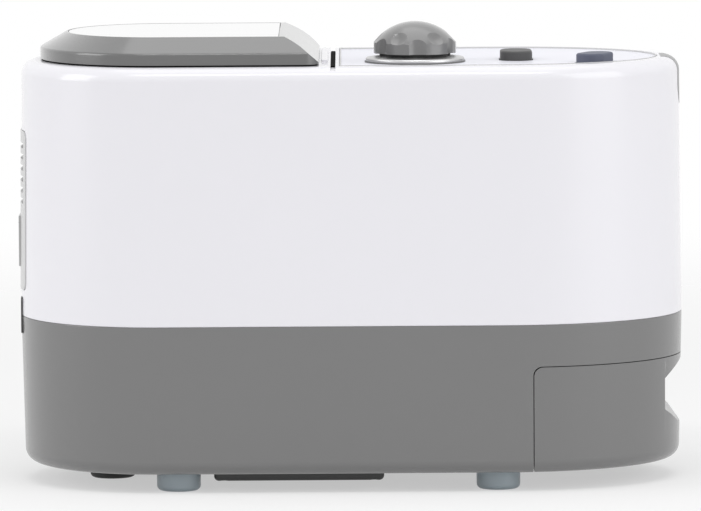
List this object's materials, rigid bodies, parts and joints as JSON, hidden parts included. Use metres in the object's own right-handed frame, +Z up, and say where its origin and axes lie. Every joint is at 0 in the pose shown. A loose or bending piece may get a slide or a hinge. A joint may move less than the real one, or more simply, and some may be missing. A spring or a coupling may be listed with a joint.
{
  "type": "compression therapy pump",
  "caption": "Table-top air pump for compression sleeves: long rounded body with a raised display, a pressure knob, push buttons, air outlets in the nose, and a diaphragm compressor inside.",
  "frame": {"origin": "on the table, below the middle of the body's length and width", "axes": "+X from the rear end with the power inlet to the nose with the air outlets, +Y away from the user across the body, +Z up"},
  "size_m": [0.2759, 0.13, 0.1913],
  "materials": {
    "white_case": "satin",
    "grey_case": "satin",
    "display_grey": "satin",
    "clear_lens": "polished",
    "display_panel": "matte",
    "panel_film": "fine matte film",
    "strip_grey": "matte",
    "silver_ring": "satin silver",
    "knob_grey": "satin",
    "button_grey": "satin",
    "button_blue_grey": "satin",
    "rear_grey": "satin",
    "switch_grey": "satin",
    "switch_black": "glossy",
    "contact_brass": "plated",
    "filter_foam": "open foam",
    "pan_grey": "satin",
    "foot_rubber": "satin",
    "dark_rubber": "matte",
    "port_grey": "matte",
    "bright_steel": "plated",
    "core_iron": "laminated",
    "copper_winding": "enamelled wire",
    "circuit_board": "solder mask",
    "capacitor_sleeve": "sleeved",
    "plain_aluminium": "plain",
    "fuse_glass": "clear",
    "natural_plastic": "moulded",
    "clear_hose": "clear"
  },
  "bodies": {
    "case": {"upper_shell": "white_case", "lower_shell": "grey_case", "front_end_cap": "grey_case", "display_housing": "display_grey", "display_lens": "clear_lens", "display_module": "display_panel", "control_panel": "panel_film", "nose_strip": "strip_grey", "knob_collar": "silver_ring", "potentiometer_body": "switch_black", "tact_switches": "switch_black", "control_board": "circuit_board", "rear_panel": "rear_grey", "switch_frame": "switch_grey", "power_inlet": "switch_black", "inlet_pins": "contact_brass", "intake_filter": "filter_foam", "base_pan": "pan_grey", "rubber_feet": "foot_rubber", "rear_foot": "dark_rubber", "base_screws": "bright_steel", "case_screws": "bright_steel", "board_screws": "bright_steel", "transformer_core": "core_iron", "transformer_coil": "copper_winding", "main_board": "circuit_board", "board_capacitors": "capacitor_sleeve", "heat_sink": "plain_aluminium", "fuse": "fuse_glass", "compressor_mounts": "dark_rubber", "compressor_frame": "bright_steel", "magnet_cores": "core_iron", "drive_coils": "copper_winding", "pump_heads": "natural_plastic", "intake_silencers": "natural_plastic", "supply_hoses": "clear_hose", "hose_tee": "natural_plastic", "valve_block": "natural_plastic", "valve_cover": "plain_aluminium", "valve_motor": "bright_steel", "pressure_sensor": "switch_black", "outlet_hoses": "clear_hose", "port_block": "port_grey"},
    "knob": {"pressure_knob": "knob_grey", "potentiometer_shaft": "bright_steel"},
    "start": {"start_button": "button_grey"},
    "mode": {"mode_button": "button_blue_grey"},
    "rocker": {"power_rocker": "switch_grey"},
    "armature": {"armature": "bright_steel", "armature_magnets": "core_iron"},
    "rotor": {"valve_rotor": "natural_plastic"}
  },
  "joints": [
    {"name": "knob_turn", "type": "hinge", "parent": "case", "child": "knob", "pos_m": [0.0268, -0.025, 0.18], "axis": [0, 0, 1], "range_deg": [-150, 150]},
    {"name": "start_press", "type": "slide", "parent": "case", "child": "start", "axis": [0, 0, -1], "range_m": [0, 0.0012], "stiffness_N_per_m": 800, "springref_m": -0.0003},
    {"name": "mode_press", "type": "slide", "parent": "case", "child": "mode", "axis": [0, 0, -1], "range_m": [0, 0.0012], "stiffness_N_per_m": 800, "springref_m": -0.0003},
    {"name": "rocker_tip", "type": "hinge", "parent": "case", "child": "rocker", "pos_m": [-0.1329, 0, 0.0997], "axis": [0, 1, 0], "range_deg": [0, 12]},
    {"name": "armature_slide", "type": "slide", "parent": "case", "child": "armature", "axis": [0, 1, 0], "range_m": [-0.0015, 0.0015], "stiffness_N_per_m": 6000},
    {"name": "valve_spin", "type": "hinge", "parent": "case", "child": "rotor", "pos_m": [0.09, 0, 0.035], "axis": [0, 0, 1], "continuous": true}
  ]
}
